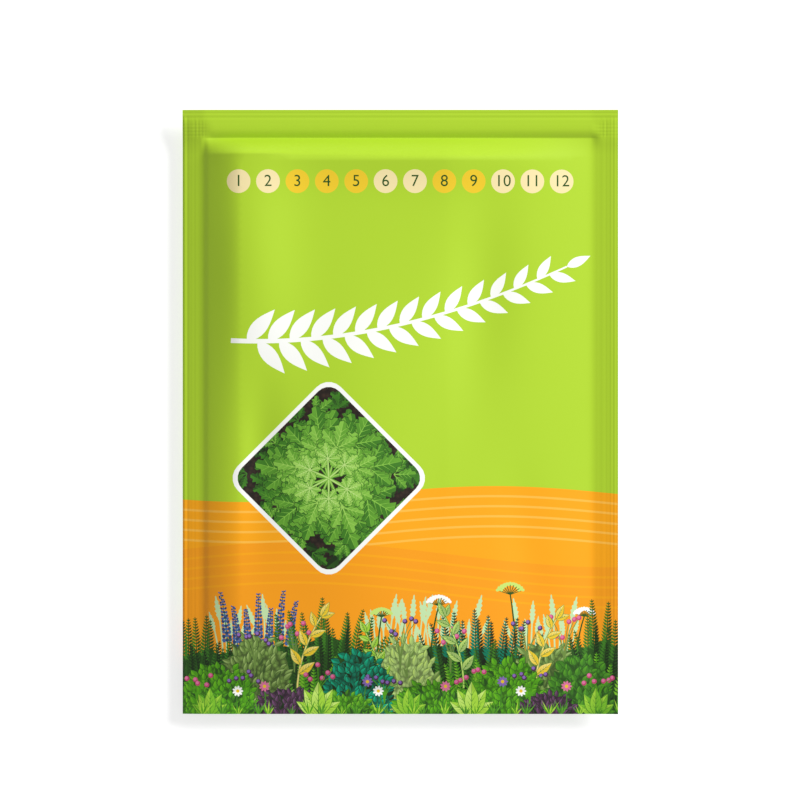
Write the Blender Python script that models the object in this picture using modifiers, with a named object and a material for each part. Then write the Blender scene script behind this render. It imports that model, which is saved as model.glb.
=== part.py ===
"""Seed packet: a flat sachet of two printed laminate films, heat-sealed on all four sides round a
charge of parsley seeds, lying on its back.

Metres, +Z up. The origin is on the surface it lies on, under the middle of the packet.
+X is the packet's right-hand side and +Y its top edge, seen from the printed front, which faces +Z.
"""

import math
import random

import bmesh
import bpy
from mathutils import Euler, Matrix

MM = 0.001

# The packet, measured over its outer edges, and the seal on each side
PACKET_WIDTH = 82.4 * MM
PACKET_HEIGHT = 114.3 * MM
SIDE_SEAL = 5.0 * MM
TOP_SEAL = 5.3 * MM
BOTTOM_SEAL = 4.6 * MM

# The laminate, and the gap that keeps the two films, fused in the real seal, two solids
FILM = 0.15 * MM
SEAL_GAP = 0.3 * MM

# The ribs that the seal bars press into every seal, running along it
RIBS = 4
RIB_HEIGHT = 0.12 * MM
RIB_MARGIN = 0.5 * MM

# The pocket: the film leaves the seal on a short curved flank, and crowns a little in the middle
SEAL_LEVEL = 3.4 * MM
FLANK_LENGTH = 8.5 * MM
FLANK_RISE = 2.9 * MM
CROWN_RISE = 1.1 * MM
FLANK_STEPS = (0.0, 0.14, 0.32, 0.56, 0.82)
WIDTH_STEPS = 6
HEIGHT_STEPS = 9

# The seeds lie low in the pocket, as they do in a packet that was stood up on a rack
SEED_LENGTH = 2.4 * MM
SEED_WIDTH = 1.3 * MM
SEED_THICKNESS = 1.1 * MM
SEED_SIDES = 6
SEED_RINGS = 3
HEAP_CENTRE = (1.5 * MM, -22.0 * MM)
HEAP_RADIUS_X = 16.0 * MM
HEAP_RADIUS_Y = 11.0 * MM
HEAP_HEIGHT = 1.7 * MM
HEAP_CLEARANCE = 0.3 * MM
HEAP_SIDES = 24
HEAP_RINGS = 8
SEED_SPACING = 2.0 * MM
SEED_ROW_SPACING = 1.7 * MM
SEED_JITTER = 0.25 * MM
SEED_LEAN = 0.25
HEAP_RIM = 0.97
RANDOM_SEED = 7

# sRGB colours of the front film's ink, the back film and the seeds, and how rough each is
LIME = (0.722, 0.878, 0.227)
PALE_LIME = (0.800, 0.890, 0.520)
SEED_BROWN = (0.420, 0.330, 0.220)
FILM_ROUGHNESS = 0.38
SEED_ROUGHNESS = 0.75

# Faces of the film that turn less than this from each other become one
FLAT_ANGLE = math.radians(0.05)

POCKET_LEFT = -PACKET_WIDTH / 2 + SIDE_SEAL
POCKET_RIGHT = PACKET_WIDTH / 2 - SIDE_SEAL
POCKET_BOTTOM = -PACKET_HEIGHT / 2 + BOTTOM_SEAL
POCKET_TOP = PACKET_HEIGHT / 2 - TOP_SEAL


def linear(channel):
    """One sRGB channel as linear light."""
    if channel <= 0.04045:
        return channel / 12.92
    return ((channel + 0.055) / 1.055) ** 2.4


def material(name, colour, roughness):
    made = bpy.data.materials.new(name)
    made.use_nodes = True
    shader = made.node_tree.nodes["Principled BSDF"]
    shader.inputs["Base Color"].default_value = (*map(linear, colour), 1)
    shader.inputs["Roughness"].default_value = roughness
    shader.inputs["Metallic"].default_value = 0.0
    return made


def clear_scene():
    for old in list(bpy.data.objects):
        bpy.data.objects.remove(old)


def seal_lines(outer, inner):
    """(place, height) of each line along a seal, from the packet's edge in: the edge, then a trough
    or a crest each half rib, then the seal's inner edge."""
    way = 1 if inner > outer else -1
    first = outer + way * RIB_MARGIN
    half_rib = (inner - way * RIB_MARGIN - first) / (2 * RIBS)
    lines = [(outer, 0.0)]
    for k in range(2 * RIBS + 1):
        lines.append((first + k * half_rib, RIB_HEIGHT if k % 2 else 0.0))
    lines.append((inner, 0.0))
    return lines


def pocket_places(low, high, steps):
    """Places across the pocket: close together on the two flanks, and even between them."""
    near = [low + FLANK_LENGTH * share for share in FLANK_STEPS]
    far = [high - FLANK_LENGTH * share for share in reversed(FLANK_STEPS)]
    start = low + FLANK_LENGTH
    span = high - low - 2 * FLANK_LENGTH
    middle = [start + span * k / steps for k in range(steps + 1)]
    return near + middle + far


def grid_lines(low_edge, low, high, high_edge, steps):
    """Every line of the film across one direction, as (place, rib height), from low to high."""
    first = seal_lines(low_edge, low)
    last = list(reversed(seal_lines(high_edge, high)))
    pocket = [(place, 0.0) for place in pocket_places(low, high, steps)[1:-1]]
    return first + pocket + last


def flank(distance):
    """How far up its flank the film is at this distance in from the seal, from 0 to 1."""
    share = min(max(distance / FLANK_LENGTH, 0.0), 1.0)
    return 1 - (1 - share) ** 2


def pillow(x, y):
    """How far the film stands off the seal's plane."""
    if not (POCKET_LEFT < x < POCKET_RIGHT and POCKET_BOTTOM < y < POCKET_TOP):
        return 0.0
    from_side = min(x - POCKET_LEFT, POCKET_RIGHT - x)
    from_end = min(y - POCKET_BOTTOM, POCKET_TOP - y)
    across = math.sin(math.pi * (x - POCKET_LEFT) / (POCKET_RIGHT - POCKET_LEFT))
    along = math.sin(math.pi * (y - POCKET_BOTTOM) / (POCKET_TOP - POCKET_BOTTOM))
    return FLANK_RISE * flank(from_side) * flank(from_end) + CROWN_RISE * across * along


def front_level(x, y, ribs):
    """The front film's inner face: the pocket domes up."""
    return SEAL_LEVEL + SEAL_GAP / 2 + ribs + pillow(x, y)


def back_level(x, y, ribs):
    """The back film's inner face: the pocket domes down, and lies flat where it meets the surface."""
    return max(SEAL_LEVEL - SEAL_GAP / 2 + ribs - pillow(x, y), FILM)


def film(name, level, facing, finish, collection):
    """One film: a grid whose lines follow the ribs and the pocket, lifted and thickened outwards."""
    across = grid_lines(
        -PACKET_WIDTH / 2, POCKET_LEFT, POCKET_RIGHT, PACKET_WIDTH / 2, WIDTH_STEPS
    )
    along = grid_lines(
        -PACKET_HEIGHT / 2, POCKET_BOTTOM, POCKET_TOP, PACKET_HEIGHT / 2, HEIGHT_STEPS
    )
    columns, rows = len(across) - 1, len(along) - 1
    bm = bmesh.new()
    bmesh.ops.create_grid(bm, x_segments=columns, y_segments=rows, size=0.5)
    for vertex in bm.verts:
        x, rib_x = across[round((vertex.co.x + 0.5) * columns)]
        y, rib_y = along[round((vertex.co.y + 0.5) * rows)]
        vertex.co = (x, y, level(x, y, rib_x + rib_y))
    bmesh.ops.dissolve_limit(bm, angle_limit=FLAT_ANGLE, verts=bm.verts[:], edges=bm.edges[:])
    if facing < 0:
        bmesh.ops.reverse_faces(bm, faces=bm.faces[:])
    mesh = bpy.data.meshes.new(name)
    bm.to_mesh(mesh)
    bm.free()
    mesh.materials.append(finish)
    mesh.shade_smooth()
    obj = bpy.data.objects.new(name, mesh)
    collection.objects.link(obj)
    wall = obj.modifiers.new("laminate", "SOLIDIFY")
    wall.thickness = FILM
    wall.offset = 1.0
    wall.use_even_offset = True
    return obj


def heap_share(x, y):
    """How far out from the heap's middle, from 0 there to 1 on its rim."""
    return math.hypot(x / HEAP_RADIUS_X, y / HEAP_RADIUS_Y)


def heap_level(x, y):
    """The height of the packed seeds over what the heap lies on."""
    return HEAP_HEIGHT * math.sqrt(max(1 - heap_share(x, y) ** 2, 0.0))


def heap_core(collection):
    """The seeds packed under the top layer: half a flattened ball, flat below."""
    bm = bmesh.new()
    bmesh.ops.create_uvsphere(bm, u_segments=HEAP_SIDES, v_segments=HEAP_RINGS, radius=1)
    everything = bm.verts[:] + bm.edges[:] + bm.faces[:]
    bmesh.ops.bisect_plane(
        bm, geom=everything, plane_co=(0, 0, 0), plane_no=(0, 0, 1), clear_inner=True
    )
    bmesh.ops.holes_fill(bm, edges=bm.edges[:], sides=0)
    bmesh.ops.scale(bm, vec=(HEAP_RADIUS_X, HEAP_RADIUS_Y, HEAP_HEIGHT), verts=bm.verts)
    bmesh.ops.recalc_face_normals(bm, faces=bm.faces[:])
    mesh = bpy.data.meshes.new("seeds")
    bm.to_mesh(mesh)
    bm.free()
    core = bpy.data.objects.new("seeds", mesh)
    collection.objects.link(core)
    return core


def seed_mesh():
    """One parsley seed: an egg, a little flat, and pointed at both ends."""
    bm = bmesh.new()
    bmesh.ops.create_uvsphere(bm, u_segments=SEED_SIDES, v_segments=SEED_RINGS, radius=0.5)
    bmesh.ops.rotate(bm, matrix=Matrix.Rotation(math.pi / 2, 3, "Y"), verts=bm.verts)
    bmesh.ops.scale(bm, vec=(SEED_LENGTH, SEED_WIDTH, SEED_THICKNESS), verts=bm.verts)
    mesh = bpy.data.meshes.new("seed")
    bm.to_mesh(mesh)
    bm.free()
    return mesh


def seed_places(rng):
    """Where the top layer's seeds lie: staggered rows over the whole heap, each a little off its place."""
    rows = int(HEAP_RADIUS_Y / SEED_ROW_SPACING)
    columns = int(HEAP_RADIUS_X / SEED_SPACING)
    for row in range(-rows, rows + 1):
        for column in range(-columns - 1, columns + 1):
            x = (column + 0.5 * (row % 2)) * SEED_SPACING + rng.uniform(-SEED_JITTER, SEED_JITTER)
            y = row * SEED_ROW_SPACING + rng.uniform(-SEED_JITTER, SEED_JITTER)
            if heap_share(x, y) < HEAP_RIM:
                yield x, y


def scattered_seeds(collection):
    """The top layer of seeds, half sunk in the heap, each turned its own way."""
    rng = random.Random(RANDOM_SEED)
    shape = seed_mesh()
    for x, y in seed_places(rng):
        seed = bpy.data.objects.new("loose_seed", shape)
        seed.location = (x, y, max(heap_level(x, y), SEED_THICKNESS / 2))
        seed.rotation_euler = Euler((0, rng.uniform(-SEED_LEAN, SEED_LEAN), rng.uniform(0, math.pi)))
        collection.objects.link(seed)


def seed_heap(finish, parts, helpers):
    """The charge of seeds: the heap's core joined with its top layer of seeds."""
    core = heap_core(parts)
    scattered_seeds(helpers)
    bpy.context.view_layer.update()
    join = core.modifiers.new("join", "BOOLEAN")
    join.operation = "UNION"
    join.operand_type = "COLLECTION"
    join.collection = helpers
    bpy.context.view_layer.objects.active = core
    core.select_set(True)
    bpy.ops.object.modifier_apply(modifier="join")
    for seed in list(helpers.objects):
        bpy.data.objects.remove(seed)
    core.data.materials.clear()
    core.data.materials.append(finish)
    core.location = (*HEAP_CENTRE, FILM + HEAP_CLEARANCE)
    return core


def build():
    clear_scene()
    parts = bpy.data.collections.new("seed_packet")
    helpers = bpy.data.collections.new("loose_seeds")
    for collection in (parts, helpers):
        bpy.context.scene.collection.children.link(collection)
    front = material("printed_laminate_front", LIME, FILM_ROUGHNESS)
    back = material("printed_laminate_back", PALE_LIME, FILM_ROUGHNESS)
    husk = material("parsley_seed", SEED_BROWN, SEED_ROUGHNESS)
    film("front_film", front_level, 1, front, parts)
    film("back_film", back_level, -1, back, parts)
    seed_heap(husk, parts, helpers)


build()
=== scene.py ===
# %% [markdown]
# # A seed packet
#
# The real object is a flat sachet: two webs of glossy printed film, heat-sealed along all four sides
# round a small charge of parsley seeds. The seal bars leave fine ribs in the film, and the trapped air
# keeps the pocket a little plump. The packet lies on its back, and the camera looks straight down on it.
#
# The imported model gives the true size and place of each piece, so it is loaded first. Everything below
# is fitted to it.

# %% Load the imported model
import math
import random
from collections import defaultdict, namedtuple

import bpy
import numpy as np
from mathutils import Matrix, Vector
from mathutils.geometry import delaunay_2d_cdt


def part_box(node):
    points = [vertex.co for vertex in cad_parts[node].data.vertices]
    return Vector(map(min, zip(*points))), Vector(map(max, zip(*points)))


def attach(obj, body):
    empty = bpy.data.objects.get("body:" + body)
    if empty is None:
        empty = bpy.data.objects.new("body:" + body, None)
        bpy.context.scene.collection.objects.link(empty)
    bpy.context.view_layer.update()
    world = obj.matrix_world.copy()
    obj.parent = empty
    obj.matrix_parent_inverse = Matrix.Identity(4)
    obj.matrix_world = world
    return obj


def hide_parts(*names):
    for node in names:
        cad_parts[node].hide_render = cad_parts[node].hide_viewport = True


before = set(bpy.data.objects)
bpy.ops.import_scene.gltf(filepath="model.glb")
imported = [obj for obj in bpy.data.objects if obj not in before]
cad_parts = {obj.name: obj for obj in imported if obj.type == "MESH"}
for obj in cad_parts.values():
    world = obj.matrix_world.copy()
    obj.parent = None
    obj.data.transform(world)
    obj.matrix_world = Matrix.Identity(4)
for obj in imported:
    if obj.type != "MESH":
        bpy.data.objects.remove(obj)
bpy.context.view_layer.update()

print("nodes:", sorted(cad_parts))

# %% [markdown]
# ## Sizes
#
# A packet is drawn up in millimetres, so the script works in them too, and turns them to Blender's metres
# only where a mesh is made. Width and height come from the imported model. The seals' widths are read
# against its height. They are the parts that lie flat, and the left one is the narrowest.

# %% The packet's driving sizes
MM = 0.001

low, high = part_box("back_film")
WIDTH = (high[0] - low[0]) / MM
HEIGHT = (high[1] - low[1]) / MM
LEFT, RIGHT = -WIDTH / 2, WIDTH / 2
BOTTOM, TOP = -HEIGHT / 2, HEIGHT / 2

SEAL = {"left": 3.65, "right": 4.6, "bottom": 4.6, "top": 5.35}
SEAL_LEVEL = 3.4
FILM = 0.15
SEAM = 0.01

print(f"packet {WIDTH:.1f} x {HEIGHT:.1f} mm, its seals {SEAL_LEVEL} mm over the floor")

# %% [markdown]
# ## Camera
#
# The packet is seen square on and almost without perspective, as a long lens gives it. The frame is
# 151.4 mm tall at the packet, and its middle lies a little above the packet's own.

# %% A long lens, looking straight down
FRAME_HEIGHT = 151.4
FRAME_CENTRE = (-0.05, 2.27)
CAMERA_HEIGHT = 1500.0
SENSOR = 36.0

bpy.ops.object.camera_add(
    location=(FRAME_CENTRE[0] * MM, FRAME_CENTRE[1] * MM, CAMERA_HEIGHT * MM), rotation=(0, 0, 0)
)
camera = bpy.context.object
camera.name = "camera"
camera.data.sensor_width = SENSOR
camera.data.lens = SENSOR * (CAMERA_HEIGHT - SEAL_LEVEL) / FRAME_HEIGHT
camera.data.clip_start = 0.01
camera.data.clip_end = 10
bpy.context.scene.camera = camera
print(f"lens {camera.data.lens:.0f} mm")

# %% [markdown]
# ## Light
#
# A soft key light, low in the top right, models the pillow of the film: it leaves the left flank in shade
# and catches the top and right ones. It is a large square panel well away from the packet, so that its
# light is about as strong at one edge of the packet as at the other. A pale world fills the shadows and
# gives the gloss something even to mirror.

# %% Studio lights
KEY_DIRECTION = (0.8, 0.5, 0.6)
KEY_DISTANCE = 1.5
KEY_SIZE = 0.55
KEY_POWER = 28.6
WORLD_LIGHT = 0.42

towards_key = Vector(KEY_DIRECTION).normalized()
bpy.ops.object.light_add(type="AREA", location=towards_key * KEY_DISTANCE)
key_light = bpy.context.object
key_light.name = "key_light"
key_light.rotation_euler = towards_key.to_track_quat("Z", "Y").to_euler()
key_light.data.size = KEY_SIZE
key_light.data.energy = KEY_POWER

world = bpy.data.worlds.new("studio")
world.use_nodes = True
world.node_tree.nodes["Background"].inputs["Color"].default_value = (1, 1, 1, 1)
world.node_tree.nodes["Background"].inputs["Strength"].default_value = WORLD_LIGHT
bpy.context.scene.world = world
bpy.context.scene.view_settings.view_transform = "Standard"
print(f"key light {KEY_DISTANCE} m away, {math.degrees(math.asin(towards_key.z)):.0f} degrees up")

# %% [markdown]
# ## Colours and nodes
#
# Inks are chosen in sRGB, and Blender's shaders want linear light, so one function turns a hex
# value into the other. One more adds a shader node with its settings and links, which keeps each material
# below to a few lines.


# %% Two small helpers for materials
def linear(hex_colour):
    """An sRGB hex colour such as "B8E03A" as linear RGBA."""
    channels = [int(hex_colour[k : k + 2], 16) / 255 for k in (0, 2, 4)]
    return (*[c / 12.92 if c <= 0.04045 else ((c + 0.055) / 1.055) ** 2.4 for c in channels], 1.0)


def add_node(tree, kind, settings=None, **links):
    """A new node with its settings, and its inputs set to values or linked from sockets.
    An input's name is written with underscores for spaces."""
    node = tree.nodes.new(kind)
    for name, value in (settings or {}).items():
        setattr(node, name, value)
    for name, value in links.items():
        socket = node.inputs[name.replace("_", " ")]
        if isinstance(value, bpy.types.NodeSocket):
            tree.links.new(value, socket)
        else:
            socket.default_value = value
    return node


def new_material(name):
    made = bpy.data.materials.new(name)
    made.use_nodes = True
    tree = made.node_tree
    return made, tree, tree.nodes["Principled BSDF"]


# %% [markdown]
# ## Floor
#
# Packets are often photographed on a light table: a sheet of opal acrylic, lit from below, which turns
# the background white and keeps the shadows thin. It isn't part of the object. From below it is left clear,
# so that the packet's back can be looked at too.
#
# Its glow isn't sampled the way a lamp is, because that drew the border between the floor's two triangles
# across the packet's back. It lies a hair below the packet, so that the two never share a plane.

# %% Opal acrylic light table
FLOOR_SIZE = 4.0
FLOOR_GAP = 0.05
TABLE_GLOW = 0.66

opal, tree, shader = new_material("opal_acrylic_light_table")
opal.cycles.emission_sampling = "NONE"
place = add_node(tree, "ShaderNodeTexCoord")
mottle = add_node(tree, "ShaderNodeTexNoise", Vector=place.outputs["Object"], Scale=40.0)
tint = add_node(tree, "ShaderNodeMix", {"data_type": "RGBA"})
tint.inputs["A"].default_value = linear("B6B6B6")
tint.inputs["B"].default_value = linear("BCBCBC")
tree.links.new(mottle.outputs["Fac"], tint.inputs["Factor"])
tree.links.new(tint.outputs["Result"], shader.inputs["Base Color"])
shader.inputs["Roughness"].default_value = 0.9
shader.inputs["Specular IOR Level"].default_value = 0.2
shader.inputs["Emission Color"].default_value = (1, 1, 1, 1)
shader.inputs["Emission Strength"].default_value = TABLE_GLOW
seen_from = add_node(tree, "ShaderNodeNewGeometry")
clear = add_node(tree, "ShaderNodeBsdfTransparent")
one_way = add_node(tree, "ShaderNodeMixShader", Fac=seen_from.outputs["Backfacing"])
tree.links.new(shader.outputs["BSDF"], one_way.inputs[1])
tree.links.new(clear.outputs["BSDF"], one_way.inputs[2])
tree.links.new(one_way.outputs["Shader"], tree.nodes["Material Output"].inputs["Surface"])

bpy.ops.mesh.primitive_plane_add(size=FLOOR_SIZE, location=(0, 0, -FLOOR_GAP * MM))
floor = bpy.context.object
floor.name = "floor"
floor.data.materials.append(opal)

# %% [markdown]
# ## The form of the film
#
# The film is one thin sheet, so its form is a height over each point of the flat packet. It is a sum of
# simple parts, as the real one comes about. The seal bars press beads and ribs into the flat bands, and a
# fine grid of grooves where the bands cross in the two upper corners. The bands themselves don't lie quite
# flat: the left one hangs down, the right one curls up a little, and the top one dips where it meets the
# pocket. The pocket leaves the bands on a curved flank, steep on the left and long on the right, and
# handling leaves broad soft dents.
#
# Writing it as a formula, rather than pushing points about by hand, lets the ribs, the print and the
# pocket share one surface whatever mesh is laid over it.

# %% Beads and ribs of the heat seal
# Each is a small ridge along its edge or, with a minus, a groove: place in from the edge, half width
# and height
RIBS = {
    "left": (
        (0.0, 0.2, -0.09),
        (0.36, 0.24, 0.05),
        (0.9, 0.2, -0.035),
        (1.85, 0.2, 0.012),
        (2.55, 0.2, 0.014),
        (3.2, 0.22, -0.008),
    ),
    "right": (
        (0.66, 0.2, 0.038),
        (1.28, 0.18, 0.028),
        (2.35, 0.16, -0.012),
        (2.95, 0.2, 0.007),
        (3.9, 0.2, 0.006),
    ),
    "bottom": ((0.0, 0.2, -0.1), (0.75, 0.24, 0.04), (1.5, 0.22, 0.03), (4.2, 0.3, -0.05)),
    "top": ((0.66, 0.2, -0.045), (1.48, 0.3, -0.055), (2.9, 0.2, 0.006)),
}
LEFT_FOOT = (4.15, 0.5, -0.11)
DEEPEST_GROOVE = 0.11
# The grid in the corners: how far in from each side its grooves lie, their depth and their half width
CORNER_GROOVES = {"top": (2.9, 3.55, 4.2, 4.85), "left": (2.35, 3.0, 3.65, 4.3), "right": (2.25, 2.95)}
CORNER_GROOVE = 0.024
CORNER_HALF = 0.18
# Stretches over which something fades in or out, each measured in from one side
LEFT_BAND_ENDS = (3.4, 5.8)
RIGHT_BAND_ENDS = (3.2, 5.2)
LEFT_FOOT_STARTS = (4.2, 6.8)
SIDE_RIBS_START = (0.6, 2.2)
GRID_STARTS = (1.5, 2.5)
GRID_ENDS = (4.7, 5.7)


def inward(x, y):
    """How far in from each side of the packet a point lies."""
    return {"left": x - LEFT, "right": RIGHT - x, "bottom": y - BOTTOM, "top": TOP - y}


def ramp(distance, start, end):
    """From 0 at the start to 1 at the end, softly."""
    share = np.clip((distance - start) / (end - start), 0, 1)
    return share * share * (3 - 2 * share)


def between_sides(in_from):
    """0 over the left and the right band, and 1 between them."""
    return ramp(in_from["left"], *LEFT_BAND_ENDS) * ramp(in_from["right"], *RIGHT_BAND_ENDS)


def bell(distance, place, half):
    return np.exp(-(((distance - place) / half) ** 2))


def ribs(x, y):
    """All four bands' ribs, and the groove along the pocket's left foot. The sides' ribs fade out near the
    top edge. Where the bands cross, the bars leave a grid of fine grooves. None goes through the film."""
    in_from = inward(x, y)
    near_top = in_from["top"]
    total = LEFT_FOOT[2] * bell(in_from["left"], *LEFT_FOOT[:2]) * ramp(near_top, *LEFT_FOOT_STARTS)
    for side, distance in in_from.items():
        strength = ramp(near_top, *SIDE_RIBS_START) if side in ("left", "right") else 1.0
        for place, half, rise in RIBS[side]:
            total = total + strength * rise * bell(distance, place, half)
    crossing = (1 - between_sides(in_from)) * ramp(near_top, *GRID_STARTS) * (1 - ramp(near_top, *GRID_ENDS))
    for side, places in CORNER_GROOVES.items():
        for place in places:
            total = total - CORNER_GROOVE * crossing * bell(in_from[side], place, CORNER_HALF)
    return np.maximum(total, -DEEPEST_GROOVE)


# %% How the bands bend
# How steeply each band hangs, curls or dips
LEFT_HANG = 0.27
RIGHT_CURL = 0.18
TOP_DIP = 0.62
TOP_CURL = 0.05
# Where each bend lies, in from its side, and how soft it is
LEFT_BEND = (4.1, 0.25)
RIGHT_BEND = (4.9, 0.3)
TOP_BEND = (4.1, 0.35)
DIP_FOOT = (5.3, 0.05)
# The top seal stiffens the side bands: the share of their bend that they keep there, and where it ends
TOP_KEEPS = 0.4
STIFF_TO_FREE = (1.5, 6.5)
# Over the side bands the dip is only a slow slope
CORNER_DIP = 1.2
CORNER_DIP_FADES = (1.0, 8.4)


def past(distance, soft):
    """A distance where it is above nothing, with a soft start."""
    return soft * np.logaddexp(0, distance / soft)


def outside(bend, distance):
    """How far outside a bend a point lies."""
    place, soft = bend
    return past(place - distance, soft)


def lie(x, y):
    """How far the seals lie off their own level."""
    in_from = inward(x, y)
    held = TOP_KEEPS + (1 - TOP_KEEPS) * ramp(in_from["top"], *STIFF_TO_FREE)
    left = -LEFT_HANG * outside(LEFT_BEND, in_from["left"]) * held
    right = RIGHT_CURL * outside(RIGHT_BEND, in_from["right"]) * held
    beyond = outside(TOP_BEND, in_from["top"])
    sharp = outside(DIP_FOOT, in_from["top"]) - beyond
    slow = CORNER_DIP * (1 - ramp(in_from["top"], *CORNER_DIP_FADES))
    inner = between_sides(in_from)
    dip = TOP_DIP * (inner * sharp + (1 - inner) * slow)
    return left + right + dip + TOP_CURL * beyond


# %% The pillow between the seals
# Each flank has a length, a curve from 1, straight, to 2, round, and a softness of its foot
RISE = 2.4
FLANKS = {
    "left": (7.4, 1.7, 0.18),
    "right": (28.0, 1.5, 0.4),
    "bottom": (10.0, 1.8, 0.2),
    "top": (3.6, 1.25, 0.05),
}
# The top flank's length swells and shrinks a little along the seal
TOP_WAVE = 0.5
TOP_WAVE_LENGTH = 14.0
TOP_WAVE_START = 10
# Each dent is a soft ridge or, with a minus, a hollow: middle x and y, half length, half width, turn in
# degrees and height
FRONT_DENTS = (
    (-8.0, -14.0, 34.0, 15.0, 90, 1.7),
    (-27.8, 28.0, 24.0, 7.5, 92, 1.3),
    (4.0, 50.5, 36.0, 6.0, -1, 1.25),
    (15.5, 21.0, 19.0, 6.5, 86, -1.0),
    (-26.5, -9.0, 16.0, 3.8, 88, -0.6),
    (-29.6, -9.0, 9.0, 1.5, 88, 0.1),
    (24.5, -27.0, 15.0, 4.5, 97, -0.5),
)


def soft_ridges(x, y, table):
    """The sum of the ridges and hollows in a table, each a bell in both directions."""
    total = np.zeros_like(x)
    for at_x, at_y, half_length, half_width, turn, rise in table:
        cos, sin = math.cos(math.radians(turn)), math.sin(math.radians(turn))
        along = (x - at_x) * cos + (y - at_y) * sin
        across = (y - at_y) * cos - (x - at_x) * sin
        total = total + rise * np.exp(-((along / half_length) ** 2) - (across / half_width) ** 2)
    return total


def flanks(x, y):
    """How far up its flanks the film is, from 0 at the seals to 1 on the pillow."""
    total = 1.0
    for side, distance in inward(x, y).items():
        length, curve, soft = FLANKS[side]
        if side == "top":
            length = length + TOP_WAVE * np.sin((x + TOP_WAVE_START) / TOP_WAVE_LENGTH)
        climbed = np.clip(past(distance - SEAL[side], soft) / length, 0, 1)
        total = total * (1 - (1 - climbed) ** curve)
    return total


def front_inner(x, y):
    """The front film's inner face, in millimetres over the floor."""
    return SEAL_LEVEL + SEAM + lie(x, y) + flanks(x, y) * (RISE + soft_ridges(x, y, FRONT_DENTS))


def front_outer(x, y):
    return front_inner(x, y) + FILM + ribs(x, y)


# %% The back film, which settles flat on the floor with a rounded border to the flat
BACK_DROP = 5.5
SETTLING = 0.12


def settled(level):
    return SETTLING * np.logaddexp(0, level / SETTLING)


def back_hang(x, y):
    """Where the back film's outer face would be with nothing under it, leaving out its ribs."""
    return SEAL_LEVEL - FILM - SEAM + lie(x, y) - BACK_DROP * flanks(x, y)


def back_outer(x, y):
    return settled(back_hang(x, y) + ribs(x, y))


def back_inner(x, y):
    return settled(back_hang(x, y)) + FILM


grid_x, grid_y = np.meshgrid(np.linspace(LEFT, RIGHT, 90), np.linspace(BOTTOM, TOP, 120))
print(f"front film's highest point {front_outer(grid_x, grid_y).max():.2f} mm")
room = front_inner(grid_x, grid_y) - back_inner(grid_x, grid_y)
print(f"least room between the films {room.min():.3f} mm")

# %% [markdown]
# ## Drawing the print
#
# The print is a set of flat coloured shapes laid over each other, as on a printer's separations. Each
# shape is an outline and an ink. It may also fade into a second ink, carry a fine pattern of foliage, or
# be masked, which keeps it inside another outline. Outlines are worked out from a few measures, so a leaf
# is its foot, its direction, its length and its width. The list's order is the order in which the shapes
# are laid down.

# %% Inks
INKS = {
    "lime": "AACE2A",
    "amber": "F4A306",
    "deep_amber": "F19A0C",
    "pale_amber": "F5B643",
    "yellow": "E8C427",
    "straw": "EEDB7C",
    "cream": "EEDDA6",
    "white": "F4F5F0",
    "night_green": "122A08",
    "dark_green": "234E10",
    "green": "3A781A",
    "mid_green": "539A1E",
    "leaf_green": "74B524",
    "parsley_shade": "3A761A",
    "parsley": "609E2C",
    "parsley_fresh": "82BC44",
    "parsley_young": "9CCC5A",
    "parsley_vein": "BADC80",
    "moss_green": "4A940C",
    "bright_green": "66B512",
    "light_green": "9CCC38",
    "pale_green": "C0DE6E",
    "pale_sage": "BEDDA6",
    "sage": "9CB868",
    "dark_sage": "68863C",
    "moss_sage": "3C5622",
    "teal": "08B084",
    "dark_teal": "007456",
    "soil": "2A1D14",
    "plum": "482A44",
    "mauve": "704A6E",
    "navy": "28406A",
    "blue": "44629A",
    "violet": "8766B4",
    "pink": "D8709C",
    "rose": "B8406C",
    "pale_lime": "C3DA7A",
    "film_white": "ECECE6",
}
# How much of a leaf's rim shows round it, in millimetres
LEAF_RIM = 0.11
Shape = namedtuple("Shape", "outline ink fade foliage mask")
print_shapes = []


def lay(outline, ink, fade=None, foliage=0, mask=None):
    """Adds one coloured shape to the print. A fade is a second ink, the place where the first ink is still
    pure and the place where the second one is. Foliage is 1 for small leaves and 2 for blades."""
    print_shapes.append(Shape(outline, ink, fade, foliage, mask))


# %% Outlines
def turned(points, at, degrees):
    """Points turned about the origin and moved to `at`."""
    cos, sin = math.cos(math.radians(degrees)), math.sin(math.radians(degrees))
    return [(at[0] + x * cos - y * sin, at[1] + x * sin + y * cos) for x, y in points]


def disc(at, radius, sides=28, stretch=1.0, turn=0.0):
    steps = [2 * math.pi * k / sides for k in range(sides)]
    return turned([(radius * math.cos(a), radius * stretch * math.sin(a)) for a in steps], at, turn)


def bend(start, pull, end, steps=14):
    """Points along a curve from start to end, drawn towards `pull`."""
    shares = [k / steps for k in range(steps + 1)]
    return [
        tuple((1 - t) ** 2 * a + 2 * t * (1 - t) * b + t * t * c for a, b, c in zip(start, pull, end))
        for t in shares
    ]


def direction(path, k):
    """The direction of a path at its point k, in degrees."""
    before, after = path[max(k - 1, 0)], path[min(k + 1, len(path) - 1)]
    return math.degrees(math.atan2(after[1] - before[1], after[0] - before[0]))


def stroke(path, thick, thin=None):
    """The outline of a line along a path, tapering from `thick` to `thin`."""
    thin = thick if thin is None else thin
    left, right = [], []
    for k, (x, y) in enumerate(path):
        along = math.radians(direction(path, k))
        half = (thick + (thin - thick) * k / (len(path) - 1)) / 2
        left.append((x - half * math.sin(along), y + half * math.cos(along)))
        right.append((x + half * math.sin(along), y - half * math.cos(along)))
    return left + right[::-1]


# %% Leaves
# A leaf's breadth between two teeth, as a share of its breadth at them
NOTCH = 0.58
# Where side veins leave the midrib, as shares of the leaf's length, and how long a leaf has to be for them
SIDE_VEINS = (0.22, 0.4, 0.58)
SIDE_VEINS_FROM = 2.4


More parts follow.
